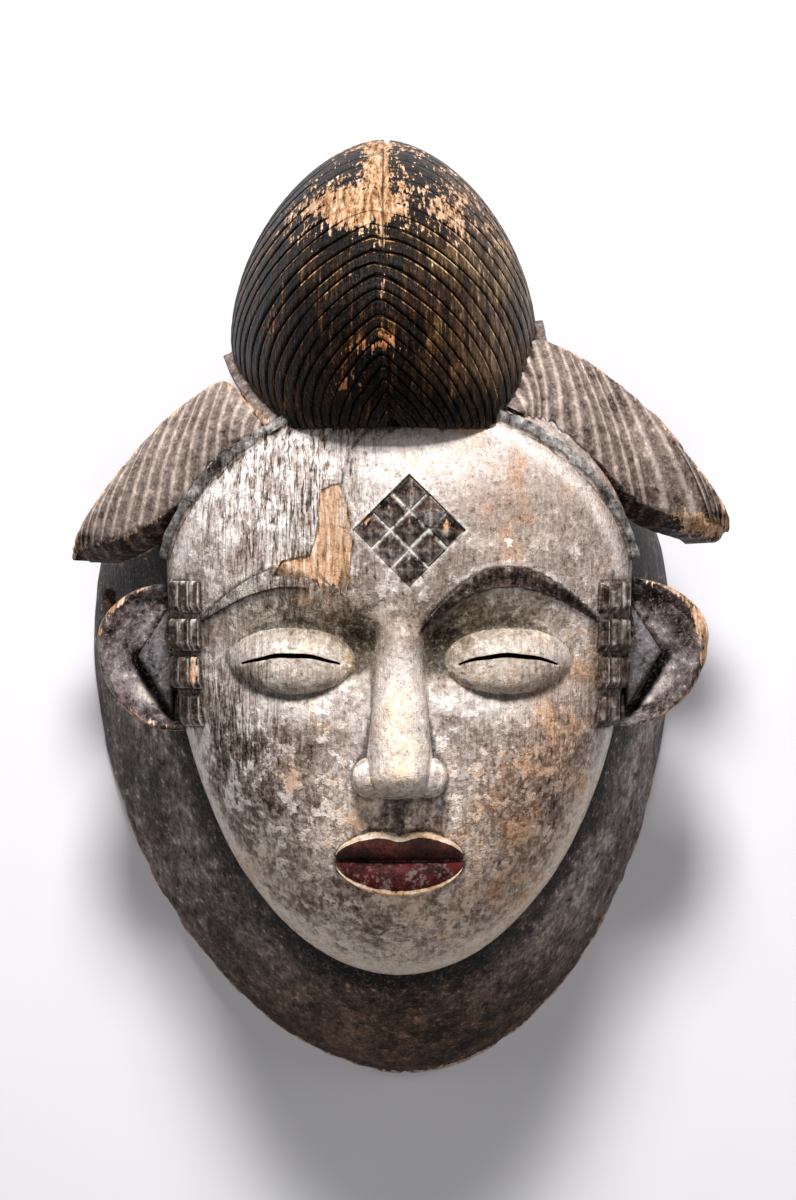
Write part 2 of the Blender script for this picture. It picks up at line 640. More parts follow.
def linked(name, data):
    made = bpy.data.objects.new(name, data)
    bpy.context.scene.collection.objects.link(made)
    return made


def read(items, name, kind=float, width=1):
    """One value, or row of values, of each of a mesh's points, edges, corners or faces."""
    values = np.empty(len(items) * width, np.int32 if kind is int else np.float64)
    items.foreach_get(name, values)
    return values.reshape(-1, width) if width > 1 else values


def piece(name, made, part):
    """A mesh object; a form's third value, if it has one, is how many cuts each point lies past."""
    points, faces, *cuts = made
    mesh = bpy.data.meshes.new(name)
    mesh.from_pydata((points * MM).tolist(), [], faces)
    mesh.validate()
    attribute = mesh.attributes.new("part", "INT", "FACE")
    attribute.data.foreach_set("value", np.full(len(mesh.polygons), part, np.int32))
    phase = cuts[0] if cuts else np.zeros(len(points))
    attribute = mesh.attributes.new("phase", "FLOAT", "CORNER")
    attribute.data.foreach_set("value", phase[read(mesh.loops, "vertex_index", int)].astype(np.float32))
    return linked(name, mesh)


def combined(base, steps, name):
    """base with each (operation, object) applied in turn by exact booleans; the inputs are removed."""
    for operation, other in steps:
        modifier = base.modifiers.new("cut", "BOOLEAN")
        modifier.operation = operation
        modifier.solver = "MANIFOLD"
        modifier.object = other
    graph = bpy.context.evaluated_depsgraph_get()
    mesh = bpy.data.meshes.new_from_object(base.evaluated_get(graph))
    for used in [base, *(other for _, other in steps)]:
        bpy.data.objects.remove(used)
    mesh.name = name
    return linked(name, mesh)


def build_mask():
    steps = []

    def add(name, made, part, operation="UNION"):
        steps.append((operation, piece(name, made, part)))

    def cut(name, made, part):
        add(name, made, part, "DIFFERENCE")

    add("face", face_block(), SKIN)
    add("crest", crest(), CREST)
    for path in (LEFT_RIB, RIGHT_RIB):
        add("rib", rib(path), TRESS)
    for places in (LEFT_TRESS, RIGHT_TRESS):
        add("tress", tress(places), TRESS)
    add("band", hair_band(), BAND)
    add("nose", nose(), NOSE)
    for side in (-1, 1):
        add("ear", ear(side), EAR)
        add("plate", ear_plate(side), EAR)
        add("nostril", nostril(side), NOSE)
        add("lid", lid(side), LIDS)
        for column, row in itertools.product(range(3), range(4)):
            add("block", temple_block(side, column, row), DARK)
    cut("recess", lozenge_recess(), DARK)
    rng = np.random.default_rng(4)
    for row, column in itertools.product((-1, 0, 1), repeat=2):
        add("scale", lozenge_scale(column, row, rng), DARK)
    add("brow", brow(-1, 0.4), DARK)
    add("brow", brow(1, 0), DARK)
    for up in (1, -1):
        add("lip", lip(up), LIPS)
    cut("cavity", cavity(), HOLLOW)
    for side in (-1, 1):
        cut("slit", eye_slit(side), HOLLOW)
    cut("hole", tie_hole(), HOLLOW)
    cut("flake", flake_cut(), FLAKED)
    cut("notch", apex_notch(), CREST)
    return combined(piece("wall", head_wall(), WALL), steps, "carved_mask")


def weights(mesh):
    """Each point's share of the faces of each part round it."""
    corner = read(mesh.loops, "vertex_index", int)
    sizes = read(mesh.polygons, "loop_total", int)
    part = read(mesh.attributes["part"].data, "value", int)
    table = np.zeros((len(mesh.vertices), BAND + 1))
    np.add.at(table, (corner, np.repeat(part, sizes)), 1)
    return table / np.maximum(table.sum(1, keepdims=True), 1)


def relaxed(values, edges, times, share=0.5):
    """values, drawn towards the mean of their neighbours a number of times."""
    count = len(values)
    a, b = edges.T
    degree = np.bincount(edges.ravel(), minlength=count).clip(1)
    columns = values.reshape(count, -1).T.astype(float)
    for _ in range(times):
        totals = [np.bincount(a, c[b], count) + np.bincount(b, c[a], count) for c in columns]
        columns = [c + share * (total / degree - c) for c, total in zip(columns, totals)]
    return np.stack(columns, -1).reshape(values.shape)


def height_above(points, others, normal):
    return np.einsum("ij,ij->i", points - others, normal)


def distance_to(path, x, y):
    """Each point's distance, seen from the front, to a line through places."""
    nearest = np.full(len(x), 1e9)
    for (ax, ay), (bx, by) in zip(path[:-1], path[1:]):
        dx, dy = bx - ax, by - ay
        t = np.clip(((x - ax) * dx + (y - ay) * dy) / (dx * dx + dy * dy), 0, 1)
        nearest = np.minimum(nearest, np.hypot(x - ax - t * dx, y - ay - t * dy))
    return nearest


def lip_border(x, y):
    """1 on the raised line round the lips, and 0 elsewhere."""
    u = np.clip(x / LIP_HALF_WIDTH, -0.999, 0.999)
    share = (np.abs(y - MOUTH_Y) - LIP_GAP / 2) / lip_depth(u, y - MOUTH_Y)
    return smoothstep(share, 0.76, 0.86)


def blots(x, y, *spots):
    """Soft spots added up, each given as its strength, its centre and how far it spreads."""
    return sum(strength * bell(x, y, *spot) for strength, *spot in spots)


def erode(mesh):
    """Softens and erodes the carving, and gives back what the finish needs to know about its points."""
    p = read(mesh.vertices, "co", float, 3) / MM
    edges = read(mesh.edges, "vertices", int, 2)
    normal = read(mesh.vertex_normals, "vector", float, 3)
    w = weights(mesh)
    m = SimpleNamespace(**dict(zip(PARTS.split(), w.T[1:])))
    slit = bell(np.abs(p[:, 0]), p[:, 1], EYE_X, EYE_Y + 0.5, 17, 3)
    crisp = np.clip(2.5 * slit + 0.8 * m.crest + 0.5 * m.tress + 0.6 * m.dark, 0, 1)[:, None]
    p = lerp(relaxed(p, edges, 1, 0.45), p, crisp)
    # The nose, the lids and the lips run softly into the face round them.
    near = relaxed(w[:, [NOSE, LIDS, LIPS]], edges, 3)
    seams = np.clip(4 * (near * (1 - near)).max(1, keepdims=True), 0, 1) * (1 - crisp)
    p = lerp(p, relaxed(p, edges, 9), seams)
    x, y, z = p.T
    m.skin = m.front + m.nose + m.lids

    # Where the grain has opened: the left of the forehead, the left temple and cheek, and the crest's base.
    grain_spots = (
        (1, -40, 44, 26, 22),
        (1, -34, 22, 16, 20),
        (0.9, -52, -32, 13, 20),
        (0.7, -20, 58, 22, 6),
        (0.4, 48, -36, 10, 22),
    )
    m.eroded = np.clip(blots(x, y, *grain_spots), 0, 1) * (m.skin + m.band)
    grain = noise(p, (1.5, 15, 6), 31)
    pits = np.clip(noise(p, (1.0, 7, 3), 32) - 0.18, 0, 1)
    lumps = 0.45 * noise(p, 24, 33) + 0.2 * noise(p, 9, 34)
    tool = 0.16 * noise(p, 5, 35)
    move = 0.5 * lumps * m.skin + (0.9 * lumps + tool) * m.wall + 0.3 * lumps * (m.ear + m.tress + m.crest)
    move += 0.07 * grain * (m.skin + m.wall + m.tress) - m.eroded * (0.75 * pits + 0.12 * np.abs(grain))
    move += m.band * (0.5 * noise(p, (5, 5, 8), 44) + 0.3 * noise(p, (2, 4, 3), 45))
    # Cracks run with the grain across the middle of the forehead's left half.
    move -= 0.5 * m.eroded * np.clip(1 - np.abs(noise(p, (5, 40, 20), 36)) / 0.035, 0, 1)
    # Under the crest the edge of the forehead has broken away in small scallops.
    m.scallop = np.clip(noise(p, (4, 3, 5), 37) - 0.05, 0, 1)
    m.scallop *= bell(x, y, -14, CREST_BASE + 1, 26, 3.2) * m.skin
    move -= 1.6 * m.scallop
    # The floor of the flake is torn along the grain.
    move += m.flaked * (0.28 * noise(p, (1.2, 6, 3), 38) + 0.2 * noise(p, (3, 9, 5), 39))
    # Adze marks in the hollow.
    inside = (m.hollow > 0.99) * (slit < 0.2)
    move += inside * (0.6 * noise(p, (13, 20, 13), 40) + 0.25 * np.abs(noise(p, (7, 9, 7), 41)))
    # Chips along the edges, and the broken tips of the tresses.
    ridge = height_above(p, relaxed(p, edges, 10), normal)
    chips = np.clip(noise(p, (4, 4, 4), 42) - 0.1, 0, 1) * np.clip(ridge / 0.4, 0, 1)
    m.rim_low = smoothstep(7 - z, 0, 4) * smoothstep(-y, 20, 70)
    m.tip = blots(x, y, (1, 97, 27.5, 11, 4.5), (0.6, -90, 21, 16, 4))
    move -= chips * (1.2 * m.rim_low * m.wall + 0.8 * m.tress + 0.5 * m.ear + 0.25 * m.dark)
    move -= m.tip * m.tress * (0.7 + 0.9 * noise(p, (4, 3, 4), 43)) * (z > 38)
    move *= (1 - 0.8 * m.lips) * (1 - np.clip(2.5 * slit, 0, 1) * (z > 60))
    p += normal * move[:, None]
    mesh.vertices.foreach_set("co", (p * MM).ravel())
    mesh.update()

    m.p, m.x, m.y, m.z, m.side = p, x, y, z, np.abs(x)
    m.edges, m.normal = edges, read(mesh.vertex_normals, "vector", float, 3)
    fine, broad = (height_above(p, relaxed(p, edges, times), m.normal) for times in (4, 24))
    m.shape = np.clip(0.5 + fine / 0.5 + broad / 2.4, 0, 1)
    # The left brow has been rubbed over, and only its inner end is still dark.
    m.rubbed = smoothstep(-x, 24, 31) * (m.side < 58.5) * (y > BROW_Y - 16)
    m.eroded = np.clip(m.eroded + 0.6 * m.rubbed * m.dark, 0, 1)
    around = relaxed(m.dark, edges, 5)
    m.near_dark = np.clip(4 * around * (1 - around), 0, 1) * (1 - m.rubbed)
    m.skin, m.dark = m.skin + m.dark * m.rubbed, m.dark * (1 - m.rubbed)
    # The gaps between the temple's blocks.
    m.gaps = bell(m.side, y, BLOCK_X + 3.5, -11.5, 6, 26) * (np.abs(y + 11.5) < 24) * (m.side > 58)
    m.rho = face_radius(x, y)
    return m


def clay_fields(m):
    """The clay, thick where it was rubbed on and thin where it has been handled away, and its tints."""
    x, y, side, skin = m.x, m.y, m.side, m.skin
    single_spots = (
        (0.36, 4, 47, 36, 15),
        (0.24, -45, 34, 26, 26),
        (0.12, 40, 36, 26, 26),
        (0.6, 0, NOSE_Y + 20, 10, 28),
        (-0.14, 32, 34, 20, 10),
        (-0.06, 38, 40, 26, 20),
        (-0.12, -38, -44, 18, 22),
        (-0.4, 0, NOSE_Y - 7, 12, 6),
    )
    paired_spots = (
        (0.4, EYE_X, EYE_Y + 3, 23, 12),
        (0.36, EYE_X, EYE_Y - 14, 20, 7),
        (0.2, 17, NOSE_Y + 4, 9, 12),
        (-0.32, 13, BROW_Y - 8, 8, 8),
        (-0.22, 26, BROW_Y - 3, 20, 8),
        (0.2, LIP_HALF_WIDTH + 4, MOUTH_Y, 6, 10),
    )
    clay = 0.52 + blots(x, y, *single_spots) + blots(side, y, *paired_spots) + 0.28 * smoothstep(-y, 34, 84)
    jaw = smoothstep(-y, 5, 40)
    clay += 0.4 * hump(m.rho, 0.95, 0.035) * jaw * (0.5 + 0.5 * smoothstep(x, -40, 30))
    strip = np.hypot(x / BAND_SIDE, (y - BAND_Y) / BAND_UP)
    clay += 0.3 * hump(strip, 0.94, 0.03) * (y > 0)
    on_band = smoothstep(1 - strip + 0.01 * noise(m.p, (3, 6, 4), 47), -0.008, 0.008)
    clay = clay * skin + 0.8 * m.band * on_band + 0.34 * m.near_dark * skin
    clay = np.clip(clay * (1 - m.flaked) * (1 - m.lips), 0, 1)
    clay += 0.55 * jaw * hump(m.rho, 0.98, 0.018) * skin
    lower_lid = m.lids * smoothstep(slit_line(x, np.sign(x)) - y, 0.3, 1.5)
    clay -= 0.15 * lower_lid * skin
    clay *= 1 - 0.75 * m.gaps * skin

    calm = blots(x, y, (1, 36, 40, 30, 24), (1, 2, 54, 30, 9)) + 0.8 * m.nose + 0.4 * m.lids
    contrast = skin * (1 - 0.6 * np.clip(calm, 0, 1) + 1.1 * smoothstep(-y, 20, 66))
    olive = skin * np.clip(blots(side, y, (1, 26, BROW_Y - 4, 22, 9), (1, 13, EYE_Y + 2, 6, 10)), 0, 1)
    warm = 0.1 + blots(x, y, (0.3, 34, 36, 24, 14), (0.6, 46, -50, 20, 40)) + 0.75 * smoothstep(-y, 40, 90)
    warm = skin * warm + m.wall * smoothstep(-y, 80, 140) + m.crest * smoothstep(104 - y, 0, 12)
    return dict(
        clay=clay,
        contrast=contrast + m.crest * smoothstep(y, 78, 104) * (1 - smoothstep(y, 112, 132)),
        olive=np.clip(olive + 0.4 * lower_lid, 0, 1),
        warm=np.clip(warm + 0.4 * m.flaked, 0, 1),
        cream=np.clip(m.nose * (0.3 + 0.7 * hump(x, 0, 6)), 0, 1),
        eroded=m.eroded,
    )


def ear_fields(m):
    """The ear's plate, the dish round it and its worn edge, and all that is black with dirt."""
    v = (m.y - EAR_Y) / EAR_HALF
    share = (m.side - EAR_X) / (4 + (EAR_OUT - 4) * ear_bulge(v))
    past = past_gouge(share, v)
    crescent = m.ear * hump(past, 0, GOUGE_HALF) * smoothstep(0.3 - v, 0, 0.5)
    crescent *= smoothstep(EAR_Z + 1 - m.z, 2, 5)
    past = past + 0.6 * np.maximum(v - 0.05, 0)
    scoop = (1 - 0.8 * smoothstep(v, -0.3, 0.5)) * hump(past, 0.2, 0.14) + 0.7 * hump(past, 0.1, 0.04)
    seam = hump(distance_to([(-14.7, 27), (-17.5, 41), (-15, 50), (-7, 60)], m.x, m.y), 0, 0.45) * m.skin
    in_hole = np.hypot(m.y - TIE_HOLE_Y, m.z - TIE_HOLE_Z) < TIE_HOLE_RADIUS + 0.6
    return dict(
        plate=m.ear * (share < 0.6) * (m.z > EAR_Z - 3),
        scoop=np.clip(m.ear * scoop, 0, 1),
        rim=m.ear * ear_edge(m),
        black=np.clip(crescent + seam + 0.7 * m.gaps * (m.skin + m.ear) + m.hollow * in_hole, 0, 1),
    )


def ear_edge(m):
    far = np.hypot((m.side - EAR_X + 3) / (EAR_OUT + 3), (m.y - EAR_Y) / (EAR_HALF + 1))
    return smoothstep(far, 0.88, 0.99)


def ornament_fields(m):
    """White clay in the lozenge's grooves, and the ornaments' facets that its dust has settled on."""
    a, b = (m.x - LOZENGE_X) / LOZENGE_REACH, (m.y - LOZENGE_Y) / LOZENGE_REACH
    in_lozenge = (np.abs(a) + np.abs(b) < 1.04) & (m.z > 90)
    off_groove = [np.abs(np.abs(np.abs(k) - 2 / 3) - 1 / 3) * LOZENGE_REACH / 1.414 for k in (a + b, a - b)]
    lean = m.normal[:, 0] - relaxed(m.normal[:, 0], m.edges, 24)
    on_blocks = (m.side > 58) * smoothstep(lean, -0.02, 0.16)
    return dict(
        joint=in_lozenge * hump(np.minimum(*off_groove), 0, 0.5),
        facet=m.dark * np.where(in_lozenge, smoothstep(-m.normal[:, 1], 0.05, 0.3), on_blocks),
    )


def bare_wood(m):
    """How bare the wood is, where the surface has broken away or worn."""
    x, y, z = m.x, m.y, m.z
    crest_spots = (
        (0.74, -13, 123, 11, 7),
        (0.5, -8.5, 139, 4, 9),
        (0.24, 10, 130, 16, 14),
        (0.24, 26, 118, 20, 12),
        (0.24, -26, 122, 13, 15),
        (0.4, -39, 90, 6, 13),
        (0.48, -5, 80, 15, 4),
        (0.46, -15, 69, 11, 4),
    )
    dark_spots = (
        (1, -10.4, 28.7, 1.8, 1.8),
        (1, 14.3, 27.2, 1.6, 1.8),
        (1, -3.5, 37.1, 1.8, 1.4),
        (1, -63.6, -17.8, 1.3, 3.5),
    )
    crest = 0.2 * smoothstep(y, 104, 122) + 0.34 * smoothstep(y, 139, 148) + blots(x, y, *crest_spots)
    crest += 0.36 * hump(x, CREST_X, 1.8) * (y > 80)
    edge = np.clip((m.shape - 0.62) / 0.3, 0, 1)
    outer = [[q[0][:2] for q in places] for places in (LEFT_TRESS, RIGHT_TRESS[3:])]
    foot = [[q[1][:2] for q in places] for places in (LEFT_TRESS[3:], RIGHT_TRESS[5:])]
    outer, foot = (np.minimum(*(distance_to(path, x, y) for path in paths)) for paths in (outer, foot))
    tress = 0.62 * hump(outer, 0, 1.2) + 0.5 * hump(foot, 0, 1.3) * (m.side > 72)
    bare = (
        m.flaked
        + m.crest * smoothstep(z + 8 * noise(m.p, 7, 48), 38, 84) * crest
        + m.tress * (z > 36) * (tress + 0.9 * m.tip * (x > 0))
        + m.ear * ear_edge(m) * (0.3 + 0.3 * edge + 0.12 * smoothstep(x, 60, 70))
        + m.wall * m.rim_low * (0.25 + 0.55 * edge)
        + m.dark * (0.15 * edge + blots(x, y, *dark_spots))
    )
    return np.clip(bare, 0, 1)


def wear(mask):
    """Erodes the carving, and gives its points the fields that the finish reads; returns the names."""
    m = erode(mask.data)
    x, y = m.x, m.y
    shade = np.clip(hump(m.rho, 1.02, 0.05) + 0.8 * smoothstep(y, -20, 6), 0, 1)
    under = smoothstep(-m.normal[:, 1], 0.35, 0.75) * (m.z > 38)
    fields = dict(
        shape=m.shape,
        bare=bare_wood(m),
        crest=np.clip(m.crest + 0.9 * m.scallop, 0, 1),
        top=m.crest * smoothstep(y + 4 * noise(m.p, 8, 46), 112, 130),
        bloom=m.crest * smoothstep(x, -4, 30) * smoothstep(y, 58, 80),
        tress=m.tress,
        skirt=m.tress * (under + 0.2 * smoothstep(x, 30, 50)),
        band=m.band,
        ear=m.ear,
        dark=m.dark,
        lips=m.lips,
        border=m.lips * lip_border(x, y),
        upper=m.lips * (y > MOUTH_Y),
        hollow=m.hollow,
        collar=m.wall,
        shade=m.wall * (shade - 0.25 * smoothstep(x, 20, 60) * smoothstep(-y, -6, 20)),
        **clay_fields(m),
        **ear_fields(m),
        **ornament_fields(m),
    )
    for name, value in fields.items():
        attribute = mask.data.attributes.new(name, "FLOAT", "POINT")
        attribute.data.foreach_set("value", value.astype(np.float32))
    mask.data.shade_smooth()
    mask.data.set_sharp_from_angle(angle=SHARP_ANGLE)
    return list(fields)


# The finish.


def colour(code):
    """A hex colour as linear red, green, blue and alpha."""
    parts = [int(code[i : i + 2], 16) / 255 for i in (0, 2, 4)]
    return (*((c / 12.92 if c <= 0.04045 else ((c + 0.055) / 1.055) ** 2.4) for c in parts), 1)


class Signal:
    """A number on its way through a material, which plain arithmetic builds further nodes for."""

    def __init__(self, graph, socket):
        self.graph, self.socket = graph, socket

    def __add__(self, other):
        return self.graph.math("ADD", self, other)

    def __sub__(self, other):
        return self.graph.math("SUBTRACT", self, other)

    def __rsub__(self, other):
        return self.graph.math("SUBTRACT", other, self)

    def __mul__(self, other):
        return self.graph.math("MULTIPLY", self, other)

    __radd__, __rmul__ = __add__, __mul__


class Graph:
    """A node material and short names for the nodes that it is made of."""

    def __init__(self, name):
        self.material = bpy.data.materials.new(name)
        self.material.use_nodes = True
        self.tree = self.material.node_tree
        self.tree.nodes.clear()
        self.place = self.node("ShaderNodeTexCoord").outputs["Object"]

    def node(self, kind, inputs=None, **settings):
        """A new node; an input is given as a number, a signal, another node's socket or a colour's code."""
        made = self.tree.nodes.new(kind)
        for name, value in settings.items():
            setattr(made, name, value)
        for name, value in (inputs or {}).items():
            if isinstance(value, Signal):
                value = value.socket
            if isinstance(value, bpy.types.NodeSocket):
                self.tree.links.new(value, made.inputs[name])
            else:
                made.inputs[name].default_value = colour(value) if isinstance(value, str) else value
        return made

    def math(self, operation, *values):
        made = self.node("ShaderNodeMath", dict(enumerate(values)), operation=operation)
        return Signal(self, made.outputs[0])

    def field(self, name):
        return Signal(self, self.node("ShaderNodeAttribute", attribute_name=name).outputs["Fac"])

    def ramp(self, value, low, high):
        given = {"Value": value, "From Min": low, "From Max": high}
        made = self.node("ShaderNodeMapRange", given, interpolation_type="SMOOTHSTEP")
        return Signal(self, made.outputs["Result"])

    def clouds(self, size, detail=2.0, shift=0.0, rough=0.55):
        """Noise from -1 to 1 or so, with lumps of the given millimetres along each axis."""
        size = size if isinstance(size, tuple) else (size,) * 3
        given = {
            "Vector": self.place,
            "Scale": tuple(1000 / s for s in size),
            "Location": (shift * 7.3, shift * 3.1, shift * 5.7),
        }
        place = self.node("ShaderNodeMapping", given, vector_type="POINT").outputs[0]
        given = {"Vector": place, "Scale": 0.5, "Detail": detail, "Roughness": rough}
        return Signal(self, self.node("ShaderNodeTexNoise", given).outputs["Fac"]) * 4 - 2

    def tones(self, value, *codes):
        """Colours evenly spaced from value 0 to value 1."""
        made = self.node("ShaderNodeValToRGB", {0: value})
        stops = made.color_ramp.elements
        for i, code in enumerate(codes):
            stop = stops[i] if i < 2 else stops.new(1.0)
            stop.color = colour(code)
        for i, stop in enumerate(stops):
            stop.position = i / (len(codes) - 1)
        return made.outputs[0]

    def blend(self, share, first, second, mode="MIX"):
        given = {0: share, 6: first, 7: second}
        return self.node("ShaderNodeMix", given, data_type="RGBA", blend_type=mode).outputs[2]

    def surface(self, inputs):
        """The finished material, its surface made with these inputs of the usual shader."""
        shader = self.node("ShaderNodeBsdfPrincipled", inputs)
        self.node("ShaderNodeOutputMaterial", {"Surface": shader.outputs[0]})
        return self.material


def carved_wood(names):
    """The mask's one material, which reads the fields of these names."""
    g = Graph("carved_wood")
    f = SimpleNamespace(**{name: g.field(name) for name in names})
    cloud = g.clouds(26, 3, 1)
    mottle = g.clouds(7, 4, 2, 0.6)
    fleck = g.clouds(2.6, 4, 6, 0.65)
    speck = g.clouds(1.2, 3, 3, 0.7)
    streak = g.clouds((0.8, 10, 3), 4, 4, 0.65)
    fibre = g.clouds((0.45, 3.5, 1.4), 3, 5, 0.7)
    grit = g.clouds(0.6, 2, 7, 0.8)
    # Long thin cracks and raised threads of the grain.
    threads = g.math("ABSOLUTE", g.clouds((1.1, 16, 4), 3, 8, 0.6))
    threads = 1 - g.ramp(threads, 0.02, 0.12)
    # Small crisp marks: light specks, dark specks and scratches along the grain.
    light = g.ramp(speck + fleck * 0.4, 0.55, 0.8)
    dark_specks = g.ramp(0 - speck - fleck * 0.4, 0.5, 0.8)
    scratch = g.ramp(fibre + streak * 0.5, 0.6, 0.9)
    marks = light * 0.16 - dark_specks * 0.16 + scratch * 0.1
    turned = g.math("FRACT", g.field("phase"))
    groove = 1 - f.shape * 2

    # The collar and everything else that was never painted.
    value = 0.5 + cloud * 0.26 + mottle * 0.24 + fleck * 0.3 + streak * 0.2 + speck * 0.3 + marks * 2.4
    value = value - 0.46 * f.shade - 0.08 * f.warm
    base = g.tones(value, "0e0a08", "352c27", "5a4f49", "807570", "b3a79e")
    base = g.blend(f.warm * f.collar * 0.8, base, "c08a52", "MULTIPLY")

    # The hair's dark crust, cut by thin lines, with a grey bloom on its right.
    off = turned - 0.5 + speck * 0.02
    line = (1 - g.ramp(g.math("ABSOLUTE", off), 0.03, 0.11)) * (1 - 0.45 * f.top)
    lip = (1 - g.ramp(g.math("ABSOLUTE", off + 0.16), 0.0, 0.07)) * g.ramp(streak + mottle, -0.6, 0.6)
    value = 0.13 + f.bloom * 0.3 + mottle * 0.2 + streak * 0.28 + fibre * 0.28 + marks * 1.2
    value = value - 0.22 * line + lip * (0.26 + 0.3 * f.contrast)
    crest = g.tones(value, "020100", "150b05", "362009", "6a4a28", "a07e55", "ccae88")
    crest = g.blend(f.bloom * 0.6, crest, g.tones(value, "0a0604", "281c11", "524230", "84715a", "b09d84"))
    base = g.blend(f.crest, base, crest)

    # The tresses' ridges have weathered grey, with dark dirt between them.
    ridge = g.math("ABSOLUTE", turned * 2 - 1)
    ridge = ridge + speck * 0.06 + fibre * 0.05
    value = 0.44 + 0.27 * g.ramp(ridge, 0.5, 0.95) + mottle * 0.12 + fleck * 0.16 + speck * 0.14
    value = value + light * 0.1 - 0.05 * (1 - g.ramp(ridge, 0.0, 0.3)) - 0.4 * f.skirt
    tress = g.tones(value, "1a120e", "43352e", "70625a", "94857c", "b6a396", "dac4b3")
    base = g.blend(f.tress, base, tress)
    value = 0.34 + mottle * 0.3 + fleck * 0.34 + speck * 0.16 + marks * 1.5 + 0.4 * (f.shape - 0.5)
    value = value - 0.16 * f.rim + 0.3 * f.scoop
    ear = g.tones(value, "120b09", "3a2e2b", "665b5b", "968b89", "c9bcb1")
    value = 0.3 + fleck * 0.2 + cloud * 0.2 + speck * 0.14 + marks + 0.3 * (f.shape - 0.5)
    plate = g.tones(value, "1c1818", "443e3f", "6e696c", "979193", "cdc4bd")
    base = g.blend(f.ear, base, g.blend(f.plate, ear, plate))
    value = 0.18 + fleck * 0.3 + streak * 0.3 + speck * 0.2 + marks * 1.3 + 0.7 * (f.shape - 0.5)
    value = value + 0.38 * f.facet
    dark = g.tones(value, "070403", "251a14", "4a3c34", "7d716b", "b4aaa4")
    base = g.blend(f.dark, base, dark)
    hollow = g.tones(0.5 + cloud * 0.3 + streak * 0.25, "3c2817", "5a3d26", "79583a", "96734d")
    base = g.blend(f.hollow, base, hollow)
    value = 0.46 + mottle * 0.36 + fleck * 0.46 + streak * 0.34 + speck * 0.26 + marks
    band = g.tones(value, "221e1c", "5b5653", "86827f", "bab3ad")
    base = g.blend(f.band, base, band)

    # White clay rubbed over the face: thick in places, thin over the grain in others.
    open_grain = f.eroded
    flakes = g.ramp(fleck + mottle * 0.5 + streak * 0.1, 0.18, 0.3)
    crisp = flakes * 0.24 + g.ramp(speck + fleck * 0.3, -0.1, 0.14) * 0.15
    crisp = crisp + fibre * 0.1 + mottle * 0.18 - 0.12
    value = f.clay + crisp * f.contrast + cloud * 0.08 + marks * 1.3
    value = value + g.ramp(streak + fibre * 0.5, -0.1, 0.1) * (0.03 + 0.24 * open_grain) - 0.1 * open_grain
    value = value - threads * (0.05 + 0.36 * open_grain) + 0.03
    clay = g.tones(value * 0.833, "241b17", "51443b", "786960", "998c84", "b8aeaa", "cfc8c4", "ece6e0")
    clay = g.blend(g.ramp(mottle + cloud * 0.6, 0.1, 1.0) * 0.4, clay, "f2dcbc", "MULTIPLY")
    warm = mottle * 0.8 + cloud * 0.6 + streak * 0.3 + fleck * 0.4 + f.warm * 0.6 - f.cream * 0.2
    clay = g.blend(g.ramp(warm, 0.2, 1.2) * 0.7, clay, "d9ad88", "MULTIPLY")
    clay = g.blend(f.warm * 0.7, clay, "ecd6bd", "MULTIPLY")
    clay = g.blend(f.cream * g.ramp(mottle + cloud * 0.5, -0.9, 0.7) * 0.7, clay, "f8dfc0", "MULTIPLY")
    clay = g.blend(f.olive * 0.6, clay, "d3cfae", "MULTIPLY")
    face = g.math("MINIMUM", f.clay * 6, 1.0)
    base = g.blend(face, base, clay)
    # Flat crumbs of thick clay with crisp edges.
    crumbs = g.ramp(f.clay * 0.5 + fleck * 0.6 + mottle * 0.4 + speck * 0.2, 0.84, 0.9)
    crumbs = crumbs * face * (1 - f.cream)
    base = g.blend(crumbs * 0.7, base, g.tones(0.5 + fleck * 0.5, "c9b69c", "e0d6ca", "e9e4de"))
    base = g.blend(f.joint * g.ramp(speck + fleck, -0.9, 0.5) * 0.85, base, "d9d0c8")

    # Bare wood, and dirt in the hollows of the carving.
    value = 0.52 + fibre * 0.36 + streak * 0.34 + marks * 1.5 + fleck * 0.16
    value = value - 0.1 * f.crest + 0.26 * f.warm
    raw = g.tones(value, "2c1a0e", "74502f", "aa8463", "c8a58a", "dbc6b4")
    raw = g.blend(f.warm * f.crest * 0.9, raw, "c08a52", "MULTIPLY")
    worn = f.bare + speck * 0.24 + streak * 0.3 + fibre * 0.22 + mottle * 0.18 - 0.2 * line * f.crest
    worn = g.ramp(worn, 0.5, 0.57)
    base = g.blend(worn, base, raw)
    dirt = g.ramp(groove + speck * 0.1, 0.2, 0.9) * (1 - 0.8 * f.joint)
    base = g.blend(dirt * 0.75, base, "140f0b")
    pit = g.ramp(streak * 0.7 + fibre * 0.7, 0.6, 0.85) * open_grain
    base = g.blend(pit * 0.85, base, "1a1310")
    base = g.blend(f.black * 0.9, base, "0d0907")
    # Grit, finer than everything else, over the whole of the carving.
    base = g.blend(g.ramp(grit, 0.1, 0.6) * 0.4, base, "989089", "MULTIPLY")
    dusty = 0.3 - 0.27 * f.crest - 0.15 * f.dark - 0.12 * f.collar
    base = g.blend(g.ramp(0 - grit, 0.1, 0.7) * dusty, base, "a39a94", "SCREEN")

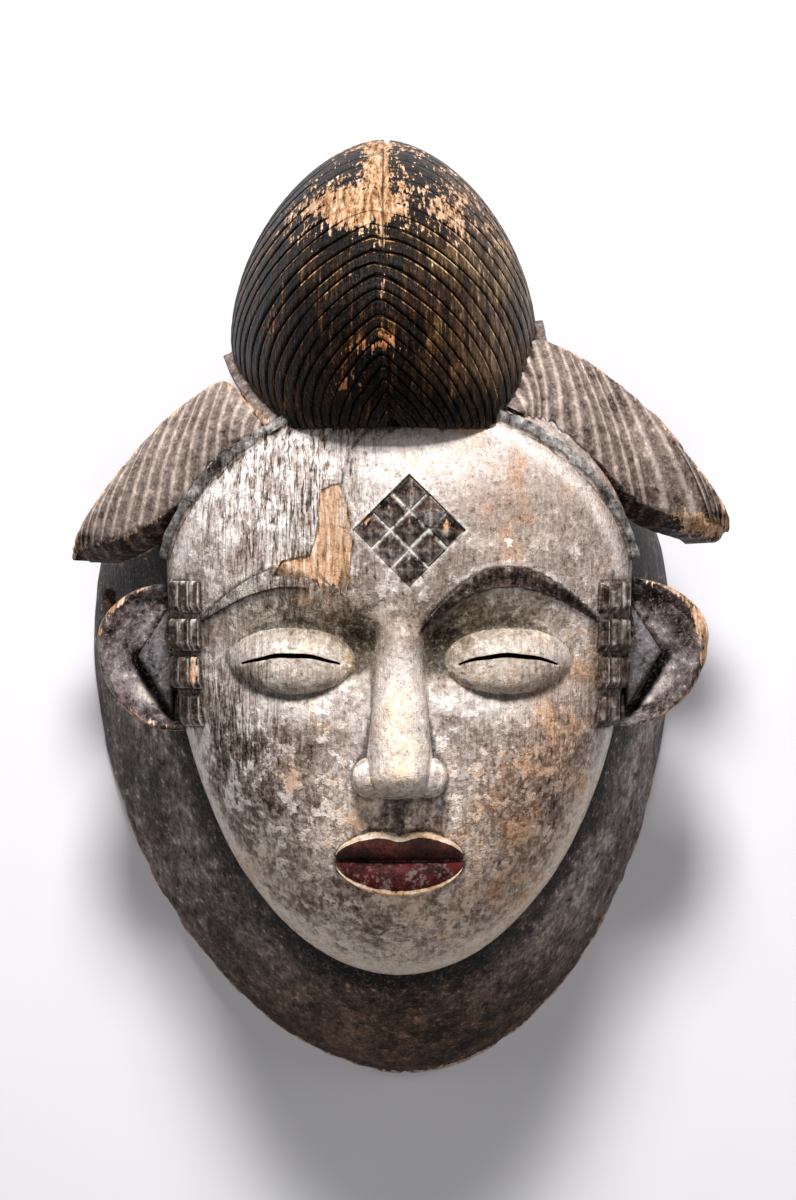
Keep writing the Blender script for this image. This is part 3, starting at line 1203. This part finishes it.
    # Lips: dark red paint, redder below, with a pale worn line round them.
    red = g.tones(0.45 + mottle * 0.5 + speck * 0.4, "1d0e0c", "481718", "6f2023")
    lower = g.blend(g.ramp(speck + fleck * 0.6, 0.1, 0.6), red, "5d524c")
    upper = g.tones(0.4 + mottle * 0.5 + speck * 0.4, "120a08", "2c1714", "54271f")
    outline = g.tones(0.55 + speck * 0.5 + mottle * 0.4, "8a5c38", "c7a684", "ddd3c8")
    worn_edge = g.ramp(f.border + speck * 0.2 + fleck * 0.3 + mottle * 0.2, 0.4, 0.6)
    paint = g.blend(worn_edge, g.blend(f.upper, lower, upper), outline)
    base = g.blend(f.lips, base, paint)

    rough = 0.52 + 0.14 * face + 0.14 * worn + 0.08 * speck - 0.08 * f.crest + 0.12 * dirt
    rough = g.math("MINIMUM", rough, 0.95)
    height = fibre * 0.06 + streak * (0.06 + 0.15 * open_grain) + speck * 0.06 + fleck * 0.08
    height = height + crumbs * 0.15
    height = height + flakes * face * f.contrast * 0.1 + f.crest * (streak * 0.12 + fibre * 0.08)
    height = height - 0.35 * pit - 0.12 * worn - 0.3 * line * f.crest - 0.15 * dark_specks - grit * 0.05
    height = height - threads * (0.04 + 0.3 * open_grain)
    bump = g.node("ShaderNodeBump", {"Distance": MM, "Strength": 0.9, "Height": height}).outputs[0]
    shine = {"IOR": 1.45, "Specular IOR Level": 0.1}
    return g.surface({"Base Color": base, "Roughness": rough, "Normal": bump, **shine})


def floor_finish():
    g = Graph("pale_floor")
    tone = g.blend(g.ramp(g.clouds(160, 3, 9), -1, 1), "d0ced3", "dad8dd")
    return g.surface({"Base Color": tone, "Roughness": 0.8})


# The studio: a pale floor, the main light beyond the crest, three weak ones, and the camera straight above.

LIGHTS = (
    ("light_main", (-0.02, 1.03, 0.9), (0.34, 0.3), 35),
    ("light_fill", (0.05, -0.5, 1.25), (0.6, 0.5), 4.2),
    ("light_right", (0.8, 0.3, 0.8), (0.4, 0.4), 1.6),
    ("light_left", (-0.8, 0.3, 0.8), (0.4, 0.4), 1.2),
)
LIGHTS_AIM = Vector((0, -0.02, 0.06))
SKY, SKY_STRENGTH = (0.88, 0.89, 0.92, 1), 0.06
CAMERA_PLACE, CAMERA_LENS, CAMERA_SENSOR = (-0.0005, 0.0046, 1.5), 137.6, 36
FLOOR_SIZE = 6


def studio():
    scene = bpy.context.scene
    bpy.ops.mesh.primitive_plane_add(size=FLOOR_SIZE, location=(0, 0, 0))
    floor = bpy.context.object
    floor.name = "floor"
    floor.data.materials.append(floor_finish())
    for name, place, size, power in LIGHTS:
        data = bpy.data.lights.new(name, "AREA")
        data.shape = "RECTANGLE"
        data.size, data.size_y = size
        data.energy = power
        lamp = linked(name, data)
        lamp.location = place
        lamp.rotation_euler = (LIGHTS_AIM - lamp.location).to_track_quat("-Z", "Y").to_euler()
    scene.world = bpy.data.worlds.new("studio")
    scene.world.use_nodes = True
    background = scene.world.node_tree.nodes["Background"]
    background.inputs["Color"].default_value = SKY
    background.inputs["Strength"].default_value = SKY_STRENGTH
    scene.view_settings.view_transform = "Standard"
    scene.camera = linked("camera", bpy.data.cameras.new("camera"))
    scene.camera.location = CAMERA_PLACE
    scene.camera.data.lens = CAMERA_LENS
    scene.camera.data.sensor_width = CAMERA_SENSOR


mask = build_mask()
names = wear(mask)
mask.data.materials.clear()
mask.data.materials.append(carved_wood(names))
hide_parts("mask")
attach(mask, "root")
studio()
